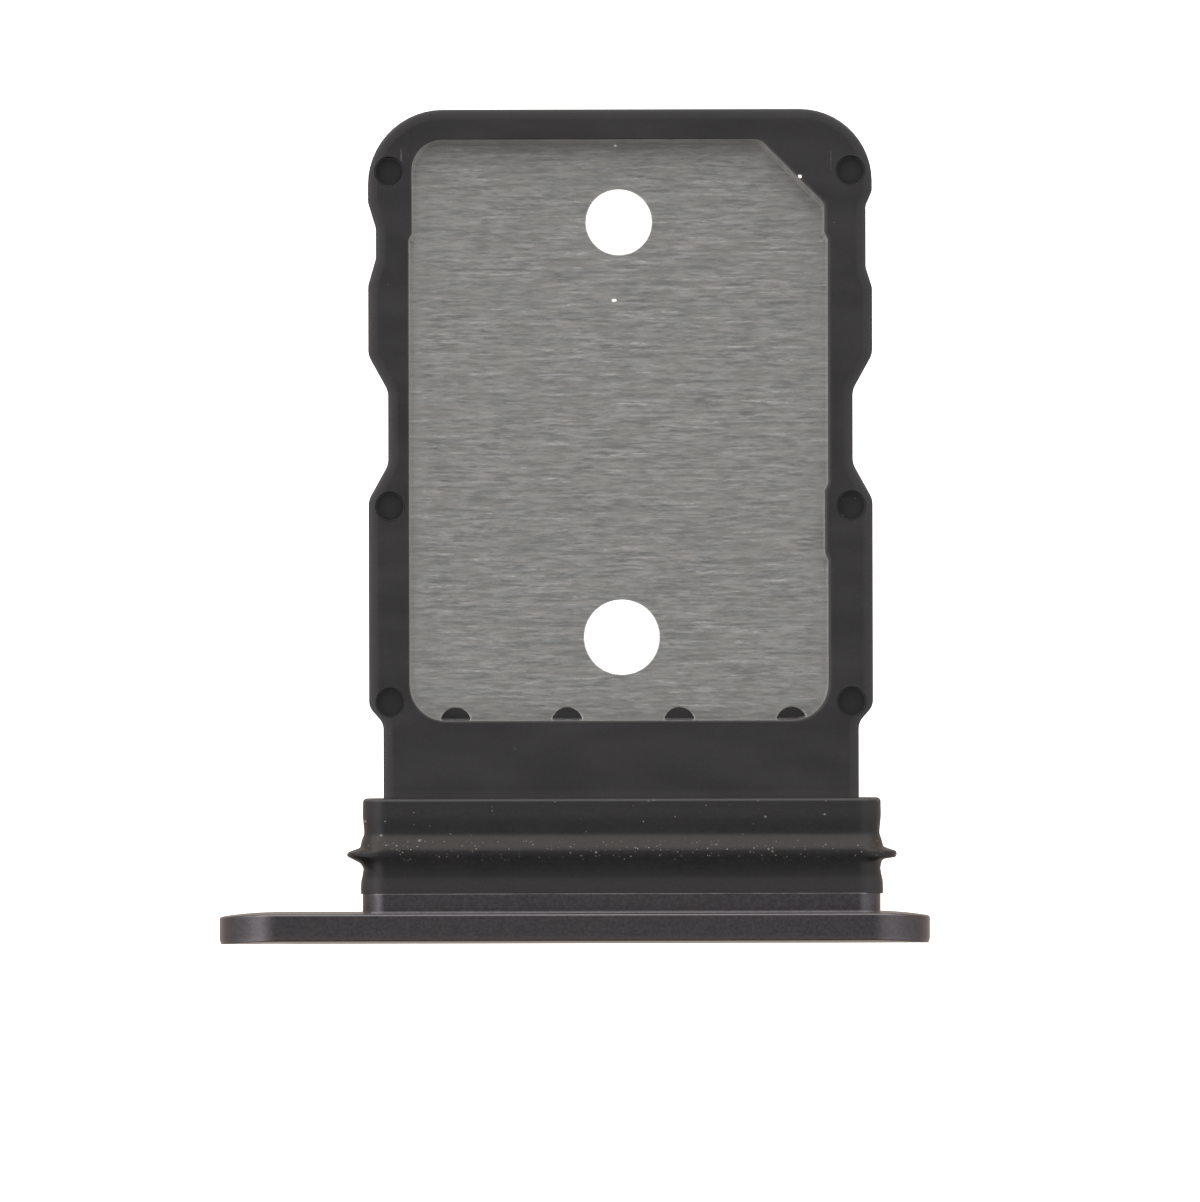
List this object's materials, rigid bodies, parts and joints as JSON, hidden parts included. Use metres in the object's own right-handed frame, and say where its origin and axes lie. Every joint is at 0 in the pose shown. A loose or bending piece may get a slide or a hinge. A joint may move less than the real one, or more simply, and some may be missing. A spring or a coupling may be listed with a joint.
{
  "type": "sim card tray",
  "caption": "Card tray with a slim faceplate, eject-pin hole, sealing gasket, moulded carrier frame and steel pocket floor; holds a nano SIM card flat in a keyed pocket.",
  "frame": {"origin": "centre of the bounding box in X and Y, at the faceplate's lowest line in Z", "axes": "+X along the faceplate, away from the eject-pin hole; +Y from the faceplate to the end that enters the slot first; +Z out of the card pocket's open side"},
  "size_m": [0.0152, 0.0178, 0.0025],
  "materials": {
    "anodised_aluminium": "fine-blasted, anodised dark grey",
    "silicone": "moulded black silicone, satin, dusty in its groove",
    "moulded_plastic": "moulded black plastic, satin",
    "stainless_sheet": "cold-rolled stainless sheet, fine brushed lines across the tray"
  },
  "bodies": {
    "root": {"head": "anodised_aluminium", "seal": "silicone", "carrier_frame": "moulded_plastic", "floor_plate": "stainless_sheet"}
  },
  "joints": []
}
